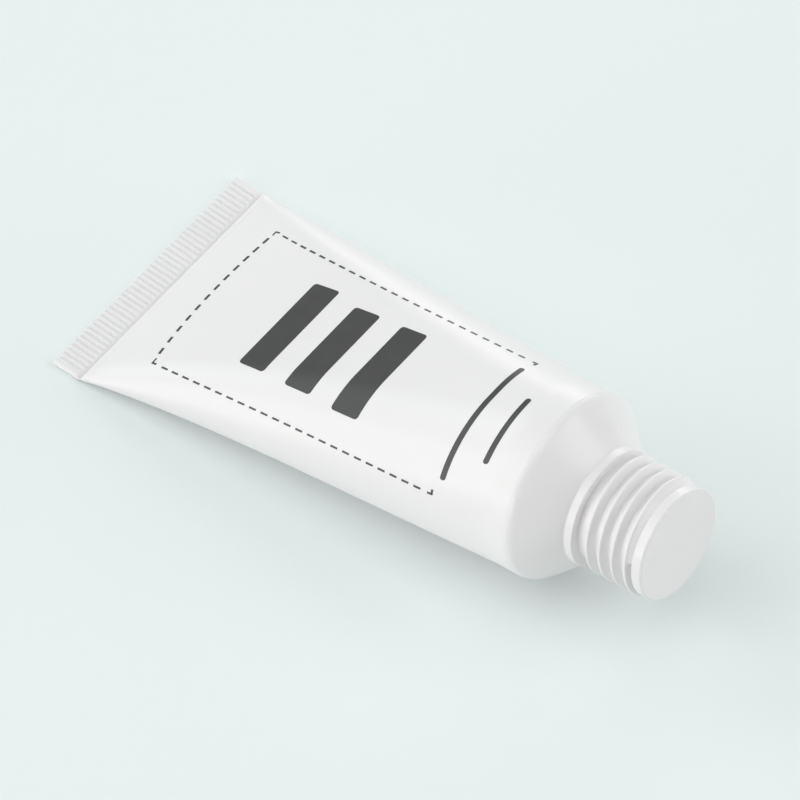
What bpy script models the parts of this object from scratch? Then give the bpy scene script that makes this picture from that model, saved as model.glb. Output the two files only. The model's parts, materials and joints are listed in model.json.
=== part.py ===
"""A squeeze tube of sunscreen cream, lying on its side: crimped sleeve, threaded neck, sealed mouth.

Metres, +Z up. The floor is z = 0, and +X points the way the neck does. The shapes are made about the
tube's own axis, which is local Z of the empty "tube_axis": local X is across the tube, local Y is
away from the floor, and z = 0 is the plane of the shoulder's edge. The empty then tips the axis up.
"""

import math

import bmesh
import bpy
import numpy as np
from mathutils import Matrix, Vector

MM = 0.001

# Sleeve
SLEEVE_RADIUS = 14.0 * MM
SLEEVE_WALL = 0.5 * MM
SLEEVE_END = -1.8 * MM
ROUND_END = -5.2 * MM
CRIMP_START = -72.9 * MM
CRIMP_LENGTH = 4.2 * MM
CRIMP_HALF_WIDTH = 20.4 * MM
CRIMP_HALF_THICKNESS = 0.5 * MM
CRIMP_OVERLAP = 0.3 * MM
CRIMP_WELD = 1.2 * MM
SWELL, EARLY_SWELL = 0.24, 0.26
SIDE_DRAW, SIDE_LAST = 2.6 * MM, 0.14
SIDE_START, SIDE_LENGTH = 0.8 * MM, 2.6 * MM
HOLLOW_END = 1.0 * MM
TILT = math.radians(8.0)

# Ribs of the crimp
RIB_COUNT = 44
RIB_SPAN = 39.0 * MM
RIB_DEPTH = 0.2 * MM
RIB_CREST, RIB_FLANK = 0.40, 0.18
JAW_PRESS = 0.06 * MM

# Head moulding
GAP = 0.3 * MM
SKIRT_WALL = 0.8 * MM
SKIRT_FOOT = -5.0 * MM
SKIRT_CHAMFER = 0.3 * MM
SHOULDER_WALL = 1.2 * MM
RIM_RADIUS = 2.0 * MM
RIM_START = -1.5 * MM
RIM_TURN = math.radians(38)
SHOULDER_BULGE = 0.17 * MM
COLLAR_RADIUS = 8.85 * MM
COLLAR_BACK, COLLAR_FRONT = 4.7 * MM, 6.0 * MM
COLLAR_ROUND = 0.15 * MM
NECK_RADIUS = 7.5 * MM
BORE_RADIUS = 6.1 * MM
LIP_RADIUS = 8.3 * MM
LIP_BACK, LIP_FACE = 15.9 * MM, 16.9 * MM
LIP_FOOT = 15.7 * MM
LIP_CHAMFER = 0.2 * MM

# Thread
THREAD_RADIUS = 8.75 * MM
THREAD_PITCH = 2.17 * MM
THREAD_START = 6.9 * MM
THREAD_START_ANGLE = math.radians(-90)
THREAD_TURNS = 4.0
THREAD_FADE = 0.2
THREAD_BASE, THREAD_CREST = 0.74, 0.184
THREAD_ROOTED = 0.25 * MM
THREAD_TIP = 0.05 * MM

# Seal and filling
SEAL_RADIUS = 8.1 * MM
SEAL_THICKNESS = 0.4 * MM
SEAL_EDGE = 0.08 * MM
CREAM_BACK = -65.5 * MM
CREAM_STEP = 0.05 * MM
CREAM_SHOULDER = -1.3 * MM
CREAM_FRONT = 4.4 * MM

# Fineness
ARC_STEPS = 20
ROUND_STEPS = 54
RIM_STEPS = 5
SHOULDER_STEPS = 3
SLEEVE_RINGS, CREAM_RINGS = 20, 14
RING_CROWDING = 1.35
SHARP_ANGLE = math.radians(30)
MERGE = 1e-6


def material(name, colour, roughness):
    """A Principled material of one colour."""
    made = bpy.data.materials.new(name)
    made.use_nodes = True
    shader = made.node_tree.nodes["Principled BSDF"]
    shader.inputs["Base Color"].default_value = (*colour, 1.0)
    shader.inputs["Roughness"].default_value = roughness
    shader.inputs["Metallic"].default_value = 0.0
    return made


def add(name, mesh, collection, parent, finish=None):
    """An object from a mesh, placed on its parent."""
    made = bpy.data.objects.new(name, mesh)
    collection.objects.link(made)
    made.parent = parent
    if finish:
        mesh.materials.append(finish)
    return made


def as_cutter(made):
    """Marks a helper solid, which shapes another piece and isn't one itself."""
    made.hide_render = True
    made.display_type = "WIRE"
    return made


def boolean(target, operation, other):
    """Joins another solid to the target, or cuts it away."""
    modifier = target.modifiers.new(f"{operation.lower()}_{other.name}", "BOOLEAN")
    modifier.operation = operation
    modifier.solver = "EXACT"
    modifier.object = other


def clean(mesh):
    """Merges doubled points, turns the faces outwards and shades round faces smooth."""
    work = bmesh.new()
    work.from_mesh(mesh)
    bmesh.ops.remove_doubles(work, verts=work.verts, dist=MERGE)
    bmesh.ops.recalc_face_normals(work, faces=work.faces)
    work.to_mesh(mesh)
    work.free()
    mesh.shade_smooth()
    mesh.set_sharp_from_angle(angle=SHARP_ANGLE)
    return mesh


def loft(name, rings):
    """A closed solid through a row of outlines, all with the same number of points, capped at both ends."""
    rings = np.asarray(rings)
    index = np.arange(rings.shape[0] * rings.shape[1]).reshape(rings.shape[:2])
    near, far = index[:-1], index[1:]
    sides = np.stack([near, np.roll(near, -1, 1), np.roll(far, -1, 1), far], -1)
    faces = sides.reshape(-1, 4).tolist() + [index[0, ::-1].tolist(), index[-1].tolist()]
    mesh = bpy.data.meshes.new(name)
    mesh.from_pydata(rings.reshape(-1, 3).tolist(), [], faces)
    return clean(mesh)


def flattened_round(width, height, flat, centre, z):
    """The outline of a tube pressed flat: two half ellipses, and straight runs of 2 x flat between them."""
    half = np.linspace(-np.pi / 2, np.pi / 2, ARC_STEPS + 1)
    angles = np.concatenate([half, half + np.pi])
    side = np.repeat([flat, -flat], ARC_STEPS + 1)
    x = side + width * np.cos(angles)
    y = centre + height * np.sin(angles)
    return np.stack([x, y, np.full_like(x, z)], -1)


def sleeve_shape(z):
    """Height of the round sides, their width, the flat half-width and the centre's height at z.

    The share of roundness goes from 0 at the crimp to 1 at the shoulder, and swells in between, as
    the filling rounds the sleeve out. The sides are half ellipses: just past the crimp they draw
    some width out of the flats, and give it back towards the shoulder, where the sleeve is round.
    The lowest points all lie in one plane, the floor.
    """
    along = min(max((z - CRIMP_START) / (ROUND_END - CRIMP_START), 0), 1)
    swell = along * (1 - along) * (SWELL + EARLY_SWELL * (1 - 2 * along))
    roundness = along + swell
    radius = CRIMP_HALF_THICKNESS + (SLEEVE_RADIUS - CRIMP_HALF_THICKNESS) * roundness
    flat = (CRIMP_HALF_WIDTH - CRIMP_HALF_THICKNESS) * (1 - roundness)
    begun = min(max((z - CRIMP_START - SIDE_START) / SIDE_LENGTH, 0), 1)
    draw = SIDE_DRAW * begun**2 * (3 - 2 * begun) * (1 - along) / (1 - along + SIDE_LAST)
    lift = max(ROUND_END - z, 0) * math.tan(TILT)
    return radius, radius + draw, flat - draw, radius - SLEEVE_RADIUS + lift


def sleeve_rings(places, inset):
    """The sleeve's sections at the given places, drawn in from the outer face by the inset."""
    rings = []
    for z in places:
        height, width, flat, centre = sleeve_shape(z)
        rings.append(flattened_round(width - inset, height - inset, flat, centre, z))
    return rings


def places_along(start, end, count):
    """Places from start to end, closer together near the start."""
    return start + (end - start) * np.linspace(0, 1, count) ** RING_CROWDING


def crimp_outline():
    """The crimp's cross-section, as points across and up: a thin bar with ribs on both faces.

    The jaws press it a little thinner and narrower than the sleeve beside it.
    """
    pitch = RIB_SPAN / (RIB_COUNT - 1)
    half_width, half_thickness = CRIMP_HALF_WIDTH - JAW_PRESS, CRIMP_HALF_THICKNESS - JAW_PRESS
    crest, flank = RIB_CREST * pitch / 2, RIB_FLANK * pitch
    top = [(-half_width, 0.0)]
    for rib in range(RIB_COUNT):
        middle = -RIB_SPAN / 2 + rib * pitch
        top += [
            (middle - crest - flank, -RIB_DEPTH),
            (middle - crest, 0.0),
            (middle + crest, 0.0),
            (middle + crest + flank, -RIB_DEPTH),
        ]
    top.append((half_width, 0.0))
    upper = [(x, half_thickness + y) for x, y in top]
    lower = [(x, -half_thickness - y) for x, y in reversed(top)]
    return upper + lower


def crimp_bar(collection, parent):
    """The ribbed crimp: its cross-section as a flat curve, extruded along the tube."""
    start, end = CRIMP_START - CRIMP_LENGTH, CRIMP_START + CRIMP_OVERLAP
    outline = crimp_outline()
    curve = bpy.data.curves.new("crimp_outline", "CURVE")
    curve.dimensions = "2D"
    curve.fill_mode = "BOTH"
    curve.extrude = (end - start) / 2
    spline = curve.splines.new("POLY")
    spline.points.add(len(outline) - 1)
    spline.use_cyclic_u = True
    spline.points.foreach_set("co", [c for x, y in outline for c in (x, y, 0.0, 1.0)])
    guide = bpy.data.objects.new("crimp_guide", curve)
    collection.objects.link(guide)
    bpy.context.view_layer.update()
    graph = bpy.context.evaluated_depsgraph_get()
    mesh = bpy.data.meshes.new_from_object(guide.evaluated_get(graph))
    bpy.data.objects.remove(guide)
    centre = sleeve_shape(start)[-1]
    for vertex in mesh.vertices:
        vertex.co.z += (start + end) / 2
        vertex.co.y += centre - (vertex.co.z - start) * math.tan(TILT)
    return as_cutter(add("crimp_bar", clean(mesh), collection, parent))


def tube_sleeve(pieces, cutters, parent, finish):
    """The sleeve: a loft from the flat crimp to the round end, joined to the ribbed crimp and hollowed."""
    outer = np.append(places_along(CRIMP_START, ROUND_END, SLEEVE_RINGS), SLEEVE_END)
    sleeve = add("tube_sleeve", loft("tube_sleeve", sleeve_rings(outer, 0.0)), pieces, parent, finish)
    boolean(sleeve, "UNION", crimp_bar(cutters, parent))
    inner = np.append(places_along(CRIMP_START + CRIMP_WELD, ROUND_END, SLEEVE_RINGS), HOLLOW_END)
    hollow = add("sleeve_hollow", loft("sleeve_hollow", sleeve_rings(inner, SLEEVE_WALL)), cutters, parent)
    boolean(sleeve, "DIFFERENCE", as_cutter(hollow))
    return sleeve


def arc(start, end, bulge, steps):
    """Points on an arc from start to end, both left out, that swells to the right of the way by bulge."""
    start, end = np.array(start), np.array(end)
    across = end - start
    half = np.hypot(*across) / 2
    radius = (half**2 + bulge**2) / (2 * bulge)
    normal = np.array([across[1], -across[0]]) / (2 * half)
    centre = (start + end) / 2 - normal * (radius - bulge)
    spread = math.asin(half / radius)
    turns = np.linspace(-spread, spread, steps + 2)[1:-1]
    forward = across / (2 * half)
    return [tuple(centre + radius * (math.cos(t) * normal + math.sin(t) * forward)) for t in turns]


def head_profile():
    """The head's half section, as (radius, z): down the outer side from the lip, then up the bore."""
    rim_middle = SLEEVE_RADIUS - RIM_RADIUS
    rim = [
        (rim_middle + RIM_RADIUS * math.cos(t), RIM_START + RIM_RADIUS * math.sin(t))
        for t in np.linspace(RIM_TURN, 0, RIM_STEPS + 1)
    ]
    collar_foot = (COLLAR_RADIUS, COLLAR_BACK)
    skirt_radius = SLEEVE_RADIUS - SLEEVE_WALL - GAP
    skirt_inside = skirt_radius - SKIRT_WALL
    lean = (COLLAR_BACK - rim[0][1]) / (rim[0][0] - COLLAR_RADIUS)
    drop = SHOULDER_WALL * math.hypot(1, lean)

    def under_shoulder(radius):
        return rim[0][1] + (rim[0][0] - radius) * lean - drop

    return [
        (LIP_RADIUS - LIP_CHAMFER, LIP_FACE),
        (LIP_RADIUS, LIP_FACE - LIP_CHAMFER),
        (LIP_RADIUS, LIP_BACK),
        (NECK_RADIUS, LIP_FOOT),
        (NECK_RADIUS, COLLAR_FRONT),
        (COLLAR_RADIUS - COLLAR_ROUND, COLLAR_FRONT),
        (COLLAR_RADIUS, COLLAR_FRONT - COLLAR_ROUND),
        collar_foot,
        *arc(collar_foot, rim[0], -SHOULDER_BULGE, SHOULDER_STEPS),
        *rim,
        (skirt_radius, RIM_START),
        (skirt_radius, SKIRT_FOOT + SKIRT_CHAMFER),
        (skirt_radius - SKIRT_CHAMFER, SKIRT_FOOT),
        (skirt_inside, SKIRT_FOOT),
        (skirt_inside, under_shoulder(skirt_inside)),
        (BORE_RADIUS, under_shoulder(BORE_RADIUS)),
        (BORE_RADIUS, LIP_FACE),
    ]


def thread_rings():
    """Sections of the thread's ridge along its helix. It rises out of the neck and sinks back into it."""
    count = round(THREAD_TURNS * ROUND_STEPS) + 1
    turned = np.linspace(0, THREAD_TURNS, count)
    fade = np.clip(np.minimum(turned, THREAD_TURNS - turned) / THREAD_FADE, 0, 1)
    grown = np.sin(fade * np.pi / 2)
    floor = NECK_RADIUS - THREAD_ROOTED
    crest = floor + THREAD_TIP + (THREAD_RADIUS - floor - THREAD_TIP) * grown
    angle = THREAD_START_ANGLE + 2 * np.pi * turned
    middle = THREAD_START + THREAD_PITCH * turned
    half_base, half_crest = THREAD_BASE * THREAD_PITCH / 2, THREAD_CREST * THREAD_PITCH / 2
    corners = ((floor, -half_base), (crest, -half_crest), (crest, half_crest), (floor, half_base))
    rings = [
        np.stack([radius * np.cos(angle), radius * np.sin(angle), middle + rise], -1)
        for radius, rise in corners
    ]
    return np.stack(rings, 1)


def shoulder_neck(pieces, cutters, parent, finish):
    """The head moulding: a turned profile, with the thread's helical ridge joined to its neck."""
    profile = [Vector((radius, 0.0, z)) for radius, z in head_profile()]
    mesh = bpy.data.meshes.new("shoulder_neck")
    edges = [(i, (i + 1) % len(profile)) for i in range(len(profile))]
    mesh.from_pydata(profile, edges, [])
    head = add("shoulder_neck", mesh, pieces, parent, finish)
    turned = head.modifiers.new("turned", "SCREW")
    turned.axis = "Z"
    turned.steps = turned.render_steps = ROUND_STEPS
    turned.use_merge_vertices = True
    turned.merge_threshold = MERGE
    turned.use_smooth_shade = True
    thread = add("neck_thread", loft("neck_thread", thread_rings()), cutters, parent)
    boolean(head, "UNION", as_cutter(thread))
    return head


def mouth_seal(pieces, parent, finish):
    """The thin disc over the mouth. Its origin is on the tube's axis, along which it lifts off."""
    work = bmesh.new()
    bmesh.ops.create_cone(
        work,
        cap_ends=True,
        segments=ROUND_STEPS,
        radius1=SEAL_RADIUS,
        radius2=SEAL_RADIUS,
        depth=SEAL_THICKNESS,
    )
    mesh = bpy.data.meshes.new("mouth_seal")
    work.to_mesh(mesh)
    work.free()
    seal = add("mouth_seal", clean(mesh), pieces, parent, finish)
    seal.location = (0, 0, LIP_FACE + GAP + SEAL_THICKNESS / 2)
    edge = seal.modifiers.new("rounded_edge", "BEVEL")
    edge.width = SEAL_EDGE
    edge.segments = 1
    edge.limit_method = "ANGLE"
    return seal


def sunscreen_cream(pieces, parent, finish):
    """The filling: it lies against the sleeve, and tapers under the shoulder to the neck's bore."""
    clear = SLEEVE_WALL + GAP
    skirt_back = ROUND_END - GAP
    rings = sleeve_rings(places_along(CREAM_BACK, skirt_back, CREAM_RINGS), clear)
    inside_skirt = SLEEVE_RADIUS - SLEEVE_WALL - 2 * GAP - SKIRT_WALL
    front = (
        (inside_skirt, skirt_back + CREAM_STEP),
        (inside_skirt, CREAM_SHOULDER),
        (BORE_RADIUS - GAP, CREAM_FRONT),
    )
    for radius, z in front:
        rings.append(flattened_round(radius, radius, 0.0, 0.0, z))
    return add("sunscreen_cream", loft("sunscreen_cream", rings), pieces, parent, finish)


def tube_axis(collection):
    """The empty that lays the tube down: its axis points to +X and up by TILT, and the bounding box
    of the pieces is centred over the origin, with the sleeve's underside on the floor."""
    axis = Vector((math.cos(TILT), 0, math.sin(TILT)))
    up = Vector((-math.sin(TILT), 0, math.cos(TILT)))
    across = Vector((0, 1, 0))
    crimp_end = CRIMP_START - CRIMP_LENGTH
    crimp_top = sleeve_shape(crimp_end)[-1] + CRIMP_HALF_THICKNESS
    seal_face = LIP_FACE + GAP + SEAL_THICKNESS
    seal_rim = SEAL_RADIUS - SEAL_EDGE
    back = axis.x * crimp_end + up.x * crimp_top
    front = axis.x * seal_face - up.x * seal_rim
    underside = up * -SLEEVE_RADIUS + axis * ROUND_END
    empty = bpy.data.objects.new("tube_axis", None)
    collection.objects.link(empty)
    turn = Matrix((across, up, axis)).transposed().to_4x4()
    empty.matrix_world = Matrix.Translation((-(back + front) / 2, 0, -underside.z)) @ turn
    return empty


for leftover in list(bpy.data.objects):
    bpy.data.objects.remove(leftover, do_unlink=True)

pieces = bpy.data.collections.new("sunscreen_tube")
cutters = bpy.data.collections.new("cutters")
for group in (pieces, cutters):
    bpy.context.scene.collection.children.link(group)

white = material("sleeve_white", (0.87, 0.87, 0.87), 0.38)
head_white = material("head_white", (0.83, 0.83, 0.83), 0.34)
seal_grey = material("seal_grey", (0.70, 0.70, 0.69), 0.42)
cream = material("cream", (0.93, 0.90, 0.82), 0.55)

axis = tube_axis(pieces)
tube_sleeve(pieces, cutters, axis, white)
shoulder_neck(pieces, cutters, axis, head_white)
mouth_seal(pieces, axis, seal_grey)
sunscreen_cream(pieces, axis, cream)
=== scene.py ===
"""A small squeeze tube of sunscreen cream, lying on a pale floor with its sealed neck to the front.

Shapes are worked out about the tube's own axis, in millimetres: x goes across the tube, y away from
the floor and z along the axis towards the mouth, from z = 0 in the plane of the shoulder's edge.
"""

import json
import math

import bmesh
import bpy
import numpy as np
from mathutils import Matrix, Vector


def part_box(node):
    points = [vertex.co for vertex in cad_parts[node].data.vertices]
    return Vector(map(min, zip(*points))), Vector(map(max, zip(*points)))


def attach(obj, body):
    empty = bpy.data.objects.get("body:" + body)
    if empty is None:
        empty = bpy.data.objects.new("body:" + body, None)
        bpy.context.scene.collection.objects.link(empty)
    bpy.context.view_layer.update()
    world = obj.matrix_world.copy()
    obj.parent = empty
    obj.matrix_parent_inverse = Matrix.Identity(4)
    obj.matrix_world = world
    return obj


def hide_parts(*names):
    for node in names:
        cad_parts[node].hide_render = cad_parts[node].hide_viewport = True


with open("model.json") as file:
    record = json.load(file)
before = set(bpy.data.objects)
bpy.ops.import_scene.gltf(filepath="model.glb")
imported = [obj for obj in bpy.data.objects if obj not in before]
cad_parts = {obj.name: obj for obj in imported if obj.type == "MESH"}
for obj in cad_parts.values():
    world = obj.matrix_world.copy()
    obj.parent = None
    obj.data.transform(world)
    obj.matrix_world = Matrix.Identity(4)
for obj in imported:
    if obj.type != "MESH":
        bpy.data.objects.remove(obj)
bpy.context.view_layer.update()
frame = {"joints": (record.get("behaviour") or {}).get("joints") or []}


# The sleeve: one length of extruded white polyethylene tube, satin outside. It is round where the
# head is welded in, and pressed flat at the other end, where hot jaws weld it and leave the ribs.

MM = 0.001
SEAL_MIDDLE = 17.4

# The tube's axis runs the way the seal lifts off, through the seal's middle at z = 17.4.
along_axis = np.array(frame["joints"][0]["axis"])
up_axis = np.array((-along_axis[2], 0.0, along_axis[0]))
across_axis = np.array((0.0, 1.0, 0.0))
shoulder_centre = np.mean(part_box("mouth_seal"), axis=0) - along_axis * SEAL_MIDDLE * MM

CRIMP_END, CRIMP_START, ROUND_END, SLEEVE_EDGE = -77.1, -72.9, -5.2, -1.5
SLEEVE_RADIUS, SLEEVE_WALL = 14.0, 0.5
CRIMP_HALF_WIDTH, CRIMP_HALF_THICKNESS, CRIMP_BEVEL = 20.4, 0.5, 0.07
SWELL, SWELL_TO_CRIMP = 0.24, 0.26
SIDE_DRAW, DRAW_EASE, DRAW_BEGIN, DRAW_FULL = 2.6, 0.14, 0.8, 3.4
TILT_SLOPE = along_axis[2] / along_axis[0]

RIB_COUNT, RIB_SPAN, RIB_DEPTH, RIB_FULLNESS, RIB_REACH = 44, 39.0, 0.5, 1.7, 0.95
RIBS_SIDE, RIBS_SIDE_END, RIBS_RUN_OUT = 19.55, 19.9, 0.35
GROOVE, GROOVE_REACH, GROOVE_DEPTH = -72.35, 0.36, 0.62
CREST_BEHIND, CREST_REACH, CREST_HEIGHT = 1.1, 0.35, 0.05
UNDERSIDE_SHARE = 0.5
HOLLOW_FRONT, HOLLOW_OPEN, HOLLOW_CLOSED = 0.5, 1.2, 1.0
COLUMNS_A_RIB, EDGE_COLUMNS = 8, 7


def place(x, y, z):
    """Points in the frame's metres: the shoulder's centre, plus x across, y up and z along the axis."""
    x, y, z = np.broadcast_arrays(x, y, z)
    steps = x[..., None] * across_axis + y[..., None] * up_axis + z[..., None] * along_axis
    return shoulder_centre + steps * MM


def smooth_step(start, end, value):
    """0 before start and 1 after end, with the cubic 3t^2 - 2t^3 in between."""
    t = np.clip((value - start) / (end - start), 0, 1)
    return t * t * (3 - 2 * t)


def sleeve_shape(z):
    """Half height and half width of the round sides, half width of the flats, and height of the middle.

    along goes from 0 at the crimp to 1 where the sleeve is round. The share of roundness is along plus
    a swell of along (1 - along) (0.24 + 0.26 (1 - 2 along)), and half height and flats follow it evenly.
    The sides start as half circles. A draw of 2.6 (1 - along) / (1.14 - along) mm, eased in past the
    crimp, comes off the flats and goes to the sides. The lowest line lies on the floor.
    """
    along = np.clip((z - CRIMP_START) / (ROUND_END - CRIMP_START), 0, 1)
    roundness = along + along * (1 - along) * (SWELL + SWELL_TO_CRIMP * (1 - 2 * along))
    height = CRIMP_HALF_THICKNESS + (SLEEVE_RADIUS - CRIMP_HALF_THICKNESS) * roundness
    begun = smooth_step(CRIMP_START + DRAW_BEGIN, CRIMP_START + DRAW_FULL, z)
    draw = SIDE_DRAW * begun * (1 - along) / (1 - along + DRAW_EASE)
    flat = (CRIMP_HALF_WIDTH - CRIMP_HALF_THICKNESS) * (1 - roundness) - draw
    middle = height - SLEEVE_RADIUS + np.maximum(ROUND_END - z, 0) * TILT_SLOPE
    return height, height + draw, flat, middle


def quarter_length(z):
    """A quarter of the outline's length: the flat, and a quarter circle of the sides' mean radius, which
    is the root of the mean square of their half height and half width."""
    height, width, flat, _ = sleeve_shape(z)
    return flat + math.pi / 2 * np.sqrt((height**2 + width**2) / 2)


def sleeve_surface(z, turn, rise=0.0, inset=0.0):
    """Points of the sleeve at z. turn goes once round, from 0 at the middle of the top to 1.

    Each quarter of the outline runs straight for the flat, and then on a quarter ellipse. rise makes
    the section thicker, inset draws it in on all sides.
    """
    height, width, flat, middle = sleeve_shape(z)
    quarter = quarter_length(z)
    share = 1 - np.abs(np.mod(turn * 4, 2) - 1)
    side = np.where(turn < 0.5, 1, -1)
    upper = np.where((turn < 0.25) | (turn > 0.75), 1, -1)
    bend = np.clip((share * quarter - flat) / (quarter - flat), 0, 1) * math.pi / 2
    x = side * (np.minimum(share * quarter, flat) + (width - inset) * np.sin(bend))
    y = middle + upper * (height + rise - inset) * np.cos(bend)
    return place(x, y, z)


def crimp_relief(z, x):
    """How far the jaws leave the surface from the sleeve's own: below it, but for a low crest.

    Rounded ribs lie side by side along the tube, with sharp valleys: with u from 0 at a crest to almost 1
    in the valley, they fall by 1 - (1 - u^f)^(1/f) for the fullness f. A groove runs across behind them,
    and the crest behind that, where the metal ended, both as bell curves.
    """
    pitch = RIB_SPAN / (RIB_COUNT - 1)
    from_crest = 2 * RIB_REACH * np.abs(np.mod(x / pitch, 1) - 0.5)
    ribs = RIB_DEPTH * (1 - (1 - from_crest**RIB_FULLNESS) ** (1 / RIB_FULLNESS))
    ribs = ribs * (1 - smooth_step(RIBS_SIDE, RIBS_SIDE_END, np.abs(x)))
    ribs = ribs * (1 - smooth_step(CRIMP_START, CRIMP_START + RIBS_RUN_OUT, z))
    groove = GROOVE_DEPTH * np.exp(-(((z - GROOVE) / GROOVE_REACH) ** 2))
    crest = CREST_HEIGHT * np.exp(-(((z - GROOVE - CREST_BEHIND) / CREST_REACH) ** 2))
    return crest - np.maximum(ribs, groove)


def sleeve_turns():
    """The sleeve's columns, as turns: eight to a rib with one in each valley, and seven to each edge."""
    step = RIB_SPAN / (RIB_COUNT - 1) / COLUMNS_A_RIB / quarter_length(CRIMP_START)
    ribbed = np.arange(RIB_COUNT // 2 * COLUMNS_A_RIB + 1) * step
    quarter = np.concatenate([ribbed, np.linspace(ribbed[-1], 1, EDGE_COLUMNS + 1)[1:]]) / 4
    half = np.concatenate([quarter, 0.5 - quarter[-2::-1]])
    return np.concatenate([half, 0.5 + half[1:-1]])[None, :]


def sleeve_grid():
    """The sleeve as one closed skin: the crimp's end, the outside, the front edge, and the inside.

    The relief is on the outside only, and the underside has half of it. The first row and the last are
    drawn together at half height, where they close. The crimp's end and the front edge are given as rows
    of z from there and inset.
    """
    end_z, end_inset = np.array([(0, CRIMP_BEVEL), (0, CRIMP_BEVEL), (0.02, 0.02), (CRIMP_BEVEL, 0)]).T
    outside = np.concatenate([
        np.linspace(-76.95, -73.45, 6),  # the ribs
        np.arange(-73.3, -71.0, 0.1),  # their run-out, the groove and the crest
        np.linspace(-70.85, -68.6, 10),  # where the sides draw in
        np.linspace(-68.0, ROUND_END, 46),  # the body
        np.linspace(-4.4, SLEEVE_EDGE - 0.1, 3),  # the round end
    ])
    edge_z, edge_inset = np.array([(-0.01, 0), (0, 0.01), (0, 0.47), (-0.03, SLEEVE_WALL)]).T
    inside = np.linspace(SLEEVE_EDGE - HOLLOW_FRONT, CRIMP_START + HOLLOW_OPEN, 12)
    z = np.concatenate([
        CRIMP_END + end_z,
        outside,
        SLEEVE_EDGE + edge_z,
        inside,
        [CRIMP_START + HOLLOW_CLOSED],
    ])[:, None]
    inset = np.concatenate([
        end_inset,
        np.zeros_like(outside),
        edge_inset,
        np.full_like(inside, SLEEVE_WALL),
        [SLEEVE_WALL],
    ])[:, None]
    turn = sleeve_turns()
    share = 1 - np.abs(np.mod(turn * 4, 2) - 1)
    relief = crimp_relief(z, share * quarter_length(z)) * (inset < SLEEVE_WALL / 4)
    under = (turn > 0.25) & (turn < 0.75)
    relief = np.where(under, UNDERSIDE_SHARE * np.minimum(relief, 0), relief)
    height = sleeve_shape(z)[0]
    relief[[0, -1]] = (inset - height)[[0, -1]]
    return sleeve_surface(z, turn, relief, inset)


def skin(name, points, ring=False):
    """A closed mesh over a grid of points, rows by columns. The columns go once round, the rows go from
    one closed end to the other, or with ring they go once round too."""
    index = np.arange(points.shape[0] * points.shape[1]).reshape(points.shape[:2])
    near, far = (index, np.roll(index, -1, 0)) if ring else (index[:-1], index[1:])
    faces = np.stack([near, np.roll(near, -1, 1), np.roll(far, -1, 1), far], -1).reshape(-1, 4)
    mesh = bpy.data.meshes.new(name)
    mesh.from_pydata(points.reshape(-1, 3), [], faces.tolist())
    work = bmesh.new()
    work.from_mesh(mesh)
    bmesh.ops.remove_doubles(work, verts=work.verts, dist=1e-7)
    bmesh.ops.recalc_face_normals(work, faces=work.faces)
    if work.calc_volume(signed=True) < 0:
        bmesh.ops.reverse_faces(work, faces=work.faces)
    work.to_mesh(mesh)
    work.free()
    mesh.shade_smooth()
    return mesh


def soft_plastic_grain():
    """A group for moulded and extruded polyethylene: a faint cloudiness in the colour, and the fine
    orange peel that cooling leaves, as a shade from 0 to 1 and a height."""
    group = bpy.data.node_groups.new("soft_plastic_grain", "ShaderNodeTree")
    sockets = (("Cloud Scale", "INPUT"), ("Peel Scale", "INPUT"), ("Cloud", "OUTPUT"), ("Peel", "OUTPUT"))
    for name, kind in sockets:
        group.interface.new_socket(name, in_out=kind, socket_type="NodeSocketFloat")
    nodes, links = group.nodes, group.links
    given, out = nodes.new("NodeGroupInput"), nodes.new("NodeGroupOutput")
    where = nodes.new("ShaderNodeTexCoord")
    for scale, result, detail in (("Cloud Scale", "Cloud", 3), ("Peel Scale", "Peel", 2)):
        noise = nodes.new("ShaderNodeTexNoise")
        noise.inputs["Detail"].default_value = detail
        links.new(where.outputs["Object"], noise.inputs["Vector"])
        links.new(given.outputs[scale], noise.inputs["Scale"])
        links.new(noise.outputs["Fac"], out.inputs[result])
    return group


plastic_grain = soft_plastic_grain()
DARK_CLOUD, LIGHT_CLOUD, GLOSS_DRIFT = 0.3, 0.7, 0.02


def plastic(name, light, dark, roughness, cloud_scale, peel_scale, peel_depth):
    """A Principled plastic, whose colour and roughness drift between two values with the cloudiness,
    and whose surface has the orange peel as a bump, peel_depth millimetres high."""
    made = bpy.data.materials.new(name)
    made.use_nodes = True
    nodes, links = made.node_tree.nodes, made.node_tree.links
    shader = nodes["Principled BSDF"]
    grain = nodes.new("ShaderNodeGroup")
    grain.node_tree = plastic_grain
    grain.inputs["Cloud Scale"].default_value = cloud_scale
    grain.inputs["Peel Scale"].default_value = peel_scale
    colour = nodes.new("ShaderNodeValToRGB")
    first, last = colour.color_ramp.elements
    first.position, first.color = DARK_CLOUD, (*dark, 1)
    last.position, last.color = LIGHT_CLOUD, (*light, 1)
    links.new(grain.outputs["Cloud"], colour.inputs["Fac"])
    links.new(colour.outputs["Color"], shader.inputs["Base Color"])
    gloss = nodes.new("ShaderNodeMapRange")
    gloss.inputs["To Min"].default_value = roughness - GLOSS_DRIFT
    gloss.inputs["To Max"].default_value = roughness + GLOSS_DRIFT
    links.new(grain.outputs["Cloud"], gloss.inputs["Value"])
    links.new(gloss.outputs["Result"], shader.inputs["Roughness"])
    bump = nodes.new("ShaderNodeBump")
    bump.inputs["Strength"].default_value = 1.0
    bump.inputs["Distance"].default_value = peel_depth * MM
    links.new(grain.outputs["Peel"], bump.inputs["Height"])
    links.new(bump.outputs["Normal"], shader.inputs["Normal"])
    return made


def piece(name, mesh, material, body, slot, *nodes):
    """An object of the mesh, which rides on the body and stands for the CAD nodes."""
    made = bpy.data.objects.new(name, mesh)
    bpy.context.scene.collection.objects.link(made)
    mesh.materials.append(material)
    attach(made, body)
    if nodes:
        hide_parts(*nodes)
    return made


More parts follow.
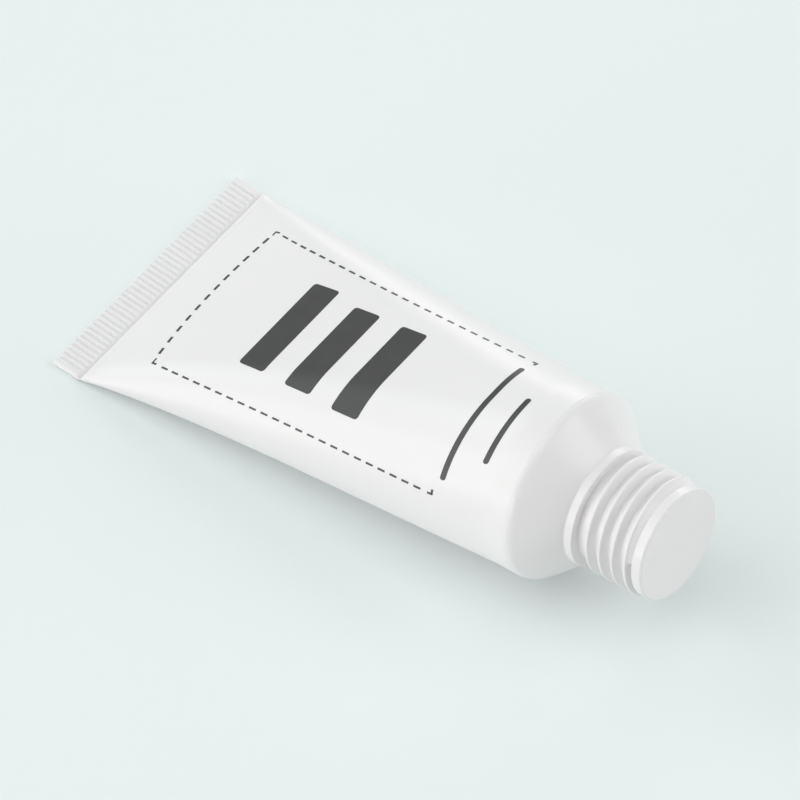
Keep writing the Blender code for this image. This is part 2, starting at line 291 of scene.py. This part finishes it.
sleeve_white = plastic(
    "sleeve_white", light=(0.89, 0.88, 0.88), dark=(0.88, 0.87, 0.87), roughness=0.34,
    cloud_scale=60, peel_scale=1500, peel_depth=0.003,
)
piece(
    "tube_sleeve_body", skin("tube_sleeve_body", sleeve_grid()), sleeve_white,
    "tube", "sleeve_plastic", "tube_sleeve",
)


# The printing: dark grey ink, screen-printed on the top of the sleeve before the tube was filled. A
# dashed border goes round three sides of a panel, and two corner ticks end it towards the shoulder.
# Three broad bars lie across the panel and two thin ones in front of it.

INK_RISE = 0.02
PANEL_BACK, PANEL_LENGTH = -63.5, 51.0
NEAR_SIDE, FAR_SIDE = (-14.66, -2.11, 1.59, -1.79), (13.21, -11.95, 10.08, -2.69)
CRIMP_SIDE = (-64.51, -0.0177, 0.0056)
NEAR_LINE, NEAR_LINE_GROWTH = 0.25, 0.1
FAR_LINE, FAR_LINE_GROWTH = 0.26, 0.14
CRIMP_LINE = 0.43
DASH, CORNER_ARM, ARM_GAP = 1.17, 0.75, 0.005
LONG_DASHES, NEAR_FIRST, NEAR_STEP = 23, -60.57, 2.014
FAR_FIRST, FAR_STEP, FAR_SPREAD = -61.54, 2.026, 0.0039
CRIMP_DASHES, CRIMP_FIRST, CRIMP_STEP, CRIMP_CLOSING = 12, -12.5, 2.36, 0.018
NEAR_CORNER, FAR_CORNER, NEAR_TICK, FAR_TICK = -14.7, 13.2, -13.8, -12.3


def ink(name, z, s, material):
    """Printed patches of ink, each a thin closed slab in the sleeve's surface over a grid of places.

    z is a place along the tube and s the way round from the middle of the top, as patches by rows by
    columns. The slab rises above the sleeve's surface as far as it reaches below it.
    """
    def on_sleeve(z, s):
        return sleeve_surface(z, np.mod(s / quarter_length(z) / 4, 1))

    step = 0.05
    surface = on_sleeve(z, s)
    across = on_sleeve(z, s + step) - on_sleeve(z, s - step)
    onward = on_sleeve(z + step, s) - on_sleeve(z - step, s)
    normal = np.cross(across, onward)
    normal /= np.linalg.norm(normal, axis=-1, keepdims=True)
    normal *= np.sign(normal @ up_axis)[..., None]
    lift = normal * INK_RISE * MM
    points = np.stack([surface + lift, surface - lift], 1)

    rows, columns = points.shape[2:4]
    index = np.arange(points.size // 3).reshape(points.shape[:4])
    top, bottom = index[:, 0], index[:, 1]
    top_faces, bottom_faces = (
        np.stack([side[:, :-1, :-1], side[:, 1:, :-1], side[:, 1:, 1:], side[:, :-1, 1:]], -1)
        for side in (top, bottom)
    )
    rim = np.concatenate([
        np.stack([np.zeros(columns, int), np.arange(columns)], -1)[:-1],
        np.stack([np.arange(rows), np.full(rows, columns - 1)], -1)[:-1],
        np.stack([np.full(columns, rows - 1), np.arange(columns)[::-1]], -1)[:-1],
        np.stack([np.arange(rows)[::-1], np.zeros(rows, int)], -1)[:-1],
    ])
    above, below = top[:, rim[:, 0], rim[:, 1]], bottom[:, rim[:, 0], rim[:, 1]]
    rim_faces = np.stack([above, np.roll(above, -1, 1), np.roll(below, -1, 1), below], -1)
    faces = np.concatenate([
        top_faces.reshape(-1, 4),
        bottom_faces.reshape(-1, 4)[:, [0, 3, 2, 1]],
        rim_faces.reshape(-1, 4),
    ])
    mesh = bpy.data.meshes.new(name)
    mesh.from_pydata(points.reshape(-1, 3), [], faces.tolist())
    work = bmesh.new()
    work.from_mesh(mesh)
    bmesh.ops.recalc_face_normals(work, faces=work.faces)
    work.to_mesh(mesh)
    work.free()
    return piece(name, mesh, material, "tube", "sleeve_plastic")


def panel_share(z):
    """The way along the panel, from 0 at its back to 1 at its front."""
    return (z - PANEL_BACK) / PANEL_LENGTH


def long_side(cubic, z):
    """A long side of the border: the way round from the middle of the top, a cubic in the panel's share."""
    t = panel_share(z)
    constant, linear, square, cube = cubic
    return constant + linear * t + square * t**2 + cube * t**3


def crimp_side(s):
    """The place along the tube of the border's short side by the crimp, a parabola in s."""
    constant, linear, square = CRIMP_SIDE
    return constant + linear * s + square * s**2


def near_width(z):
    """The width of the near long side's line, which grows evenly towards the shoulder."""
    return NEAR_LINE + NEAR_LINE_GROWTH * panel_share(z)


def far_width(z):
    """The width of the far long side's line, which grows with the square of the way to the shoulder."""
    return FAR_LINE + FAR_LINE_GROWTH * panel_share(z) ** 2


def strokes(width, z_start, s_start, z_end, s_end, steps=6):
    """Straight strokes from start to end, as patches for ink, half the width to either side."""
    width, z_start, s_start, z_end, s_end = (
        np.atleast_1d(v)[:, None, None] for v in (width, z_start, s_start, z_end, s_end)
    )
    t = np.linspace(0, 1, steps)[None, :, None]
    off = np.array((-0.5, 0.5))[None, None, :] * width
    length = np.hypot(z_end - z_start, s_end - s_start)
    z = z_start + (z_end - z_start) * t - (s_end - s_start) / length * off
    s = s_start + (s_end - s_start) * t + (z_end - z_start) / length * off
    return z, s


def dashes(width, cubic, middles):
    """Dashes along a long side, each of the same length in z, round the given middles."""
    start, end = middles - DASH / 2, middles + DASH / 2
    return strokes(width, start, long_side(cubic, start), end, long_side(cubic, end))


def corner(width, z, s, along, round_about):
    """A corner of the border: one arm from z, s along the tube and one the way round, by their signs.

    The first arm starts half a width back, and the second just past it, so that they share no edge.
    """
    lap = width / 2
    return (
        strokes(width, z - along * lap, s, z + along * CORNER_ARM, s),
        strokes(width, z, s + round_about * (lap + ARM_GAP), z, s + round_about * CORNER_ARM),
    )


def border():
    """All the border's strokes: two long sides, the short side across, and the four corners.

    The dashes on the near side are evenly spaced, those on the far side spread towards the shoulder,
    and those across draw together towards the far side.
    """
    count = np.arange(LONG_DASHES)
    near_middles = NEAR_FIRST + NEAR_STEP * count
    far_middles = FAR_FIRST + FAR_STEP * count + FAR_SPREAD * count**2
    count = count[:CRIMP_DASHES]
    s = CRIMP_FIRST + CRIMP_STEP * count - CRIMP_CLOSING * count**2
    half = DASH / 2
    parts = [
        dashes(near_width(near_middles), NEAR_SIDE, near_middles),
        dashes(far_width(far_middles), FAR_SIDE, far_middles),
        strokes(CRIMP_LINE, crimp_side(s - half), s - half, crimp_side(s + half), s + half),
    ]
    for z, width, side, along, round_about in (
        (crimp_side(NEAR_CORNER), near_width, NEAR_SIDE, 1, 1),
        (crimp_side(FAR_CORNER), far_width, FAR_SIDE, 1, -1),
        (NEAR_TICK, near_width, NEAR_SIDE, -1, 1),
        (FAR_TICK, far_width, FAR_SIDE, -1, -1),
    ):
        parts.extend(corner(width(z), z, long_side(side, z), along, round_about))
    return [np.concatenate(both) for both in zip(*parts)]


def bars(middle, height, start, end, rounding):
    """Plain bars across the tube, as patches for ink: round their middles in z, from start to end in s.

    Quarter circles round their corners: both ends come in by rounding - sqrt(rounding^2 - past^2),
    where past is how far a row lies past the start of the corner.
    """
    middle, height, start, end, rounding = (
        np.array(v)[:, None, None] for v in (middle, height, start, end, rounding)
    )
    u = np.sin(np.linspace(-1, 1, 17) * math.pi / 2)[None, :, None]
    past = np.maximum(np.abs(u) * height / 2 - height / 2 + rounding, 0)
    inward = rounding - np.sqrt(rounding**2 - past**2)
    share = np.linspace(0, 1, 48)
    return middle + u * height / 2, start + inward + (end - start - 2 * inward) * share


ink_grey = plastic(
    "ink_grey", light=(0.062, 0.062, 0.062), dark=(0.056, 0.056, 0.056), roughness=0.4,
    cloud_scale=400, peel_scale=3000, peel_depth=0.002,
)
ink("printed_border", *border(), ink_grey)
ink("printed_bars", *bars(
    middle=(-48.4, -39.7, -31.0, -12.7, -7.3),
    height=(4.6, 4.6, 4.6, 0.9, 0.9),
    start=(-10.3, -10.6, -11.1, -14.2, -10.0),
    end=(6.6, 5.1, 4.9, 6.1, 1.1),
    rounding=(0.5, 0.5, 0.5, 0.4, 0.4),
), ink_grey)


# The head: white polyethylene, moulded in one with its shoulder, collar, hollow neck and thread, and
# then welded into the sleeve. The thread is one right-hand ridge that fades at both ends.

NECK_RADIUS, COLLAR_RADIUS, LIP_RADIUS, BORE_RADIUS = 7.5, 8.85, 8.3, 6.1
BORE_BACK, COLLAR_BACK, COLLAR_FACE, LIP_BACK, LIP_FACE = 3.45, 4.7, 6.0, 15.9, 17.31
LIP_SLOPE, BEND_POINTS = 0.15, 5
RIM_ROUNDING, RIM_ANGLE = 2.0, 38
SHOULDER_BULGE, BULGE_DIRECTION = 0.17, (0.49, 0.87)
SKIRT_RADIUS, SKIRT_INSIDE, SKIRT_END, SHOULDER_INSIDE = 13.2, 12.4, -5.0, -1.7
THREAD_RADIUS, THREAD_PITCH, THREAD_START, THREAD_TURNS, THREAD_FADE = 8.75, 2.17, 6.9, 4.0, 0.2
THREAD_HALF_CREST, THREAD_HALF_BASE, THREAD_SHARPNESS = 0.2, 0.7, 14.0
THREAD_START_ANGLE = -90.0
CLOSED_RISE, CLOSED_SINK = 1.2, 0.6

# Degrees round from the thread's start.
CLOSED_FROM, CLOSED_FULL, CLOSED_END, CLOSED_STEP = 10, 60, 252.5, 1.5


def rounded(corners):
    """A closed outline through corners of (radius, z, rounding, spacing), as points.

    Each corner is cut by a quadratic curve that starts and ends at its rounding's distance from it.
    The straight run after a corner has points no further apart than its spacing.
    """
    corners = np.array(corners, float)
    at, cut = corners[:, :2], corners[:, 2:3]
    before, after = np.roll(at, 1, 0) - at, np.roll(at, -1, 0) - at
    first = at + before / np.linalg.norm(before, axis=1, keepdims=True) * cut
    last = at + after / np.linalg.norm(after, axis=1, keepdims=True) * cut
    t = np.linspace(0, 1, BEND_POINTS)[None, :, None]
    bends = first[:, None] * (1 - t) ** 2 + 2 * at[:, None] * t * (1 - t) + last[:, None] * t**2
    path, spacing = bends.reshape(-1, 2), np.repeat(corners[:, 3], BEND_POINTS)
    gaps = np.linalg.norm(np.roll(path, -1, 0) - path, axis=1)
    counts = np.where(gaps < 1e-6, 0, np.maximum(np.ceil(gaps / spacing), 1)).astype(int)
    which = np.repeat(np.arange(len(path)), counts)
    step = np.arange(counts.sum()) - np.repeat(np.cumsum(counts) - counts, counts)
    t = (step / counts[which])[:, None]
    return path[which] * (1 - t) + np.roll(path, -1, 0)[which] * t


def head_outline():
    """The head's half section, as corners for rounded: from the lip down the outside and up the bore.

    The shoulder is a straight line from the collar's foot to the rim, plus a parabola for its bulge, and
    the rim is an arc that ends level with the sleeve.
    """
    turn = np.linspace(math.radians(RIM_ANGLE), 0, 9)
    rim_radius = SLEEVE_RADIUS - RIM_ROUNDING + RIM_ROUNDING * np.cos(turn)
    rim = np.stack([rim_radius, SLEEVE_EDGE + RIM_ROUNDING * np.sin(turn)], -1)
    foot = np.array((COLLAR_RADIUS, COLLAR_BACK))
    t = np.linspace(0, 1, 12)[1:-1, None]
    shoulder = foot + (rim[0] - foot) * t + np.array(BULGE_DIRECTION) * SHOULDER_BULGE * 4 * t * (1 - t)
    return [
        (LIP_RADIUS, LIP_FACE, 0.03, 0.1),
        (LIP_RADIUS, LIP_BACK, 0.08, 0.1),
        (NECK_RADIUS, LIP_BACK - LIP_SLOPE, 0.1, 0.055),
        (NECK_RADIUS, COLLAR_FACE, 0.08, 0.15),
        (COLLAR_RADIUS, COLLAR_FACE, 0.14, 0.12),
        (COLLAR_RADIUS, COLLAR_BACK, 0.12, 0.2),
        *((radius, z, 0, 0.3) for radius, z in np.concatenate([shoulder, rim])),
        (SKIRT_RADIUS, SLEEVE_EDGE, 0.02, 0.5),
        (SKIRT_RADIUS, SKIRT_END, 0.3, 0.5),
        (SKIRT_INSIDE, SKIRT_END, 0.1, 0.5),
        (SKIRT_INSIDE, SHOULDER_INSIDE, 0.4, 0.5),
        (BORE_RADIUS, BORE_BACK, 0.4, 0.5),
        (BORE_RADIUS, LIP_FACE, 0.06, 0.2),
    ]


def thread_rise(z, angle):
    """How far the thread's ridge stands out of the neck at z and angle (degrees), summed over its turns.

    The ridge's middle is at start + pitch x turned. Its section is a trapezoid with softened corners,
    and its height grows as a quarter sine over the first part of a turn, and sinks over the last.
    """
    turned = np.mod(angle - THREAD_START_ANGLE, 360) / 360
    turned = turned[..., None] + np.arange(THREAD_TURNS)
    fade = np.clip(np.minimum(turned, THREAD_TURNS - turned) / THREAD_FADE, 0, 1)
    away = np.abs(z[..., None] - THREAD_START - THREAD_PITCH * turned)
    flank = (THREAD_HALF_BASE - away) / (THREAD_HALF_BASE - THREAD_HALF_CREST)
    below_crest = np.logaddexp(0, THREAD_SHARPNESS * flank)
    above_crest = np.logaddexp(0, THREAD_SHARPNESS * (flank - 1))
    section = (below_crest - above_crest) / THREAD_SHARPNESS
    return ((THREAD_RADIUS - NECK_RADIUS) * np.sin(fade * math.pi / 2) * section).sum(-1)


def closed_groove(z, angle):
    """The rise of the last groove where the mould leaves it closed: from the last ridge's middle to the
    lip, sinking evenly, over part of the turn, with a slow start and a step at its visible end."""
    from_start = np.mod(angle - THREAD_START_ANGLE, 360)
    ridge = THREAD_START + THREAD_PITCH * (from_start / 360 + THREAD_TURNS - 1)
    begun = smooth_step(CLOSED_FROM, CLOSED_FULL, from_start)
    ended = smooth_step(CLOSED_END - CLOSED_STEP, CLOSED_END + CLOSED_STEP, from_start)
    window = begun * (1 - ended)
    share = np.clip((z - ridge) / (LIP_BACK - ridge), 0, 1)
    return np.where(z > ridge, (CLOSED_RISE - CLOSED_SINK * share) * window, 0)


def head_grid(columns=240):
    """The head's outline turned about the axis, pushed out by the thread between collar and lip."""
    outline = rounded(head_outline())
    radius, z = outline[:, 0, None], outline[:, 1, None]
    angle = np.arange(columns)[None, :] * 360 / columns
    z, angle = np.broadcast_arrays(z, angle)
    rise = np.maximum(thread_rise(z, angle), closed_groove(z, angle))
    on_neck = (z > COLLAR_FACE) & (z < LIP_BACK) & (radius > (BORE_RADIUS + NECK_RADIUS) / 2)
    radius = np.where(on_neck, np.maximum(radius, NECK_RADIUS + rise), radius)
    angle = np.radians(angle)
    return place(radius * np.cos(angle), radius * np.sin(angle), z)


head_white = plastic(
    "head_white", light=(0.87, 0.86, 0.86), dark=(0.855, 0.845, 0.845), roughness=0.3,
    cloud_scale=90, peel_scale=1100, peel_depth=0.003,
)
piece(
    "threaded_head", skin("threaded_head", head_grid(), ring=True), head_white,
    "tube", "head_plastic", "shoulder_neck",
)


# The mouth seal: a thin disc of grey-white laminate, sealed by heat on the lip. It is flush with the
# lip's side, flat on its face, and peels off the mouth.

SEAL_BACK, SEAL_FACE, SEAL_RADIUS, SEAL_ROUNDING = 17.33, 17.6, 8.3, 0.22
SEAL_BEVEL_IN, SEAL_BEVEL_UP = 0.03, 0.02


def turned_grid(profile, columns=240):
    """A profile of (radius, z), from axis to axis, turned about the tube's axis."""
    radius, z = profile[:, 0, None], profile[:, 1, None]
    angle = np.linspace(0, 2 * math.pi, columns, endpoint=False)[None, :]
    return place(radius * np.cos(angle), radius * np.sin(angle), z)


def seal_profile():
    """The disc's half section: flat back, side, a quarter round to the face, and the flat face."""
    turn = np.linspace(0, math.pi / 2, 9)
    corner_middle = np.array((SEAL_RADIUS, SEAL_FACE)) - SEAL_ROUNDING
    edge = corner_middle + SEAL_ROUNDING * np.stack([np.cos(turn), np.sin(turn)], -1)
    share = np.linspace(0, 1, 26)[:, None]
    back = np.array((0, SEAL_BACK)) + share * (SEAL_RADIUS - SEAL_BEVEL_IN, 0)
    face = edge[-1] * (1 - share[1:]) + np.array((0, SEAL_FACE)) * share[1:]
    return np.concatenate([back, [(SEAL_RADIUS, SEAL_BACK + SEAL_BEVEL_UP)], edge, face])


seal_white = plastic(
    "seal_white", light=(0.835, 0.82, 0.82), dark=(0.825, 0.81, 0.81), roughness=0.42,
    cloud_scale=200, peel_scale=1600, peel_depth=0.003,
)
piece(
    "mouth_seal_disc", skin("mouth_seal_disc", turned_grid(seal_profile())), seal_white,
    "seal", "seal_film", "mouth_seal",
)


# The cream: a soft ivory filling, pressed in from the open end before the crimp was welded. It fills
# the sleeve and the root of the neck, and shows down the bore when the seal is off.

CREAM_BACK, CREAM_SIDES_END, CREAM_SHOULDER_BACK, CREAM_SHOULDER_EDGE = -65.5, -5.5, -5.4, -1.3
CREAM_INSET, CREAM_SHOULDER_RADIUS, CREAM_BORE_RADIUS = 0.8, 12.1, 5.8
CREAM_DOME, CREAM_DOME_RISE = 4.0, 0.5


def cream_grid(columns=160):
    """The filling's skin: the sleeve's sections drawn in by wall and gap, then rings under the shoulder
    to the bore, where the surface is a shallow dome, a quarter of an ellipse in section."""
    z = np.linspace(CREAM_BACK, CREAM_SIDES_END, 40)
    turn = np.arange(columns)[None, :] / columns
    body = sleeve_surface(z[:, None], turn, 0.0, CREAM_INSET)
    closing = CREAM_INSET - sleeve_shape(z[:1])[0]
    first = sleeve_surface(z[:1, None], turn, closing, CREAM_INSET)
    dome = np.linspace(1, 0, 12)
    rings = np.array([
        (CREAM_SHOULDER_RADIUS, CREAM_SHOULDER_BACK),
        (CREAM_SHOULDER_RADIUS, CREAM_SHOULDER_EDGE),
        (CREAM_BORE_RADIUS, CREAM_DOME),
        *zip(CREAM_BORE_RADIUS * dome, CREAM_DOME + CREAM_DOME_RISE * (1 - dome**2) ** 0.5),
    ])
    radius, height = rings[:, 0, None], rings[:, 1, None]
    angle = 2 * math.pi * turn
    front = place(radius * np.sin(angle), radius * np.cos(angle), height)
    return np.concatenate([first, body, front])


cream_ivory = plastic(
    "cream_ivory", light=(0.92, 0.89, 0.81), dark=(0.9, 0.865, 0.78), roughness=0.4,
    cloud_scale=130, peel_scale=500, peel_depth=0.03,
)
piece(
    "sunscreen_filling", skin("sunscreen_filling", cream_grid()), cream_ivory,
    "tube", "cream", "sunscreen_cream",
)


# The studio: a wide floor of pale matt paper with a faint cool tint, and large soft lights all round
# the tube, low ones for its sides and high ones for its top, with a little light from everywhere.

def floor_mesh(half=3.0, steps=24):
    """A level square of 2 x half at z = 0, as a grid of steps by steps."""
    line = np.linspace(-half, half, steps + 1)
    x, y = np.meshgrid(line, line, indexing="ij")
    points = np.stack([x, y, np.zeros_like(x)], -1).reshape(-1, 3)
    index = np.arange((steps + 1) ** 2).reshape(steps + 1, steps + 1)
    faces = np.stack([index[:-1, :-1], index[1:, :-1], index[1:, 1:], index[:-1, 1:]], -1)
    mesh = bpy.data.meshes.new("studio_floor")
    mesh.from_pydata(points, [], faces.reshape(-1, 4).tolist())
    return mesh


floor = bpy.data.objects.new("studio_floor", floor_mesh())
bpy.context.scene.collection.objects.link(floor)
floor.data.materials.append(plastic(
    "floor_paper", light=(0.89, 0.95, 0.945), dark=(0.885, 0.945, 0.94), roughness=0.9,
    cloud_scale=8, peel_scale=300, peel_depth=0.01,
))

LIGHT_DISTANCE = 8.0
LOW_TINT, HIGH_TINT, BACK_TINT = (1.0, 0.95, 0.945), (0.97, 1.0, 1.0), (0.91, 1.0, 0.985)
AIR_TINT, AIR_STRENGTH = (1.0, 0.93, 0.94, 1.0), 0.262


def soft_box(name, azimuth, elevation, width, height, radiance, colour):
    """A large flat light that looks at the tube from azimuth about +Z and elevation above the floor.

    Its width and height are given as the angles that it fills there, in degrees.
    """
    a, e = math.radians(azimuth), math.radians(elevation)
    towards = Vector((math.cos(a) * math.cos(e), math.sin(a) * math.cos(e), math.sin(e)))
    light = bpy.data.lights.new(name, "AREA")
    light.shape = "RECTANGLE"
    light.size, light.size_y = (2 * LIGHT_DISTANCE * math.tan(math.radians(v) / 2) for v in (width, height))
    light.energy = radiance * light.size * light.size_y * math.pi
    light.color = colour
    made = bpy.data.objects.new(name, light)
    bpy.context.scene.collection.objects.link(made)
    made.location = towards * LIGHT_DISTANCE
    made.rotation_euler = towards.to_track_quat("Z", "Y").to_euler()
    return made


# Each box's name, azimuth, elevation, width and height in degrees, radiance and colour.
for box in (
    ("front_low_box", 24, 4, 26, 20, 3.13, LOW_TINT),
    ("front_high_box", 30, 32, 36, 36, 2.41, HIGH_TINT),
    ("near_low_box", 252, 4, 50, 20, 3.91, LOW_TINT),
    ("near_high_box", 225, 31, 28, 34, 2.62, HIGH_TINT),
    ("near_top_box", 225, 60, 30, 22, 1.19, HIGH_TINT),
    ("far_low_box", 120, 4, 26, 20, 3.75, LOW_TINT),
    ("far_high_box", 126, 32, 28, 36, 0.77, BACK_TINT),
    ("crimp_box", 180, 32, 28, 36, 1.74, BACK_TINT),
    ("left_box", 60, 41, 26, 20, 1.11, BACK_TINT),
    ("overhead_box", 0, 90, 34, 34, 1.27, BACK_TINT),
):
    soft_box(*box)

world = bpy.data.worlds.new("studio_air")
world.use_nodes = True
air = world.node_tree.nodes["Background"]
air.inputs["Color"].default_value = AIR_TINT
air.inputs["Strength"].default_value = AIR_STRENGTH
bpy.context.scene.world = world
bpy.context.scene.view_settings.view_transform = "Standard"


# The camera: a long lens, high over the tube's near side and turned towards its neck, as in the
# photograph. It looks at the shoulder, which it holds right of the middle.

def look_from(azimuth, elevation, distance, right, up, lens):
    """A camera that looks at the shoulder's centre from azimuth and elevation, moved over by right and
    up. These two and the distance are in millimetres, as the lens is."""
    a, e = math.radians(azimuth), math.radians(elevation)
    back_way = Vector((math.sin(a) * math.cos(e), -math.cos(a) * math.cos(e), math.sin(e)))
    right_way = Vector((math.cos(a), math.sin(a), 0))
    up_way = back_way.cross(right_way)
    camera = bpy.data.cameras.new("view_camera")
    camera.lens, camera.sensor_width = lens, 36
    camera.clip_start, camera.clip_end = 0.05, 20
    made = bpy.data.objects.new("view_camera", camera)
    bpy.context.scene.collection.objects.link(made)
    made.location = Vector(shoulder_centre) + (back_way * distance + right_way * right + up_way * up) * MM
    made.rotation_euler = back_way.to_track_quat("Z", "Y").to_euler()
    return made


bpy.context.scene.camera = look_from(
    azimuth=38.33, elevation=54.95, distance=1500, right=-24.05, up=12.23, lens=495.9,
)
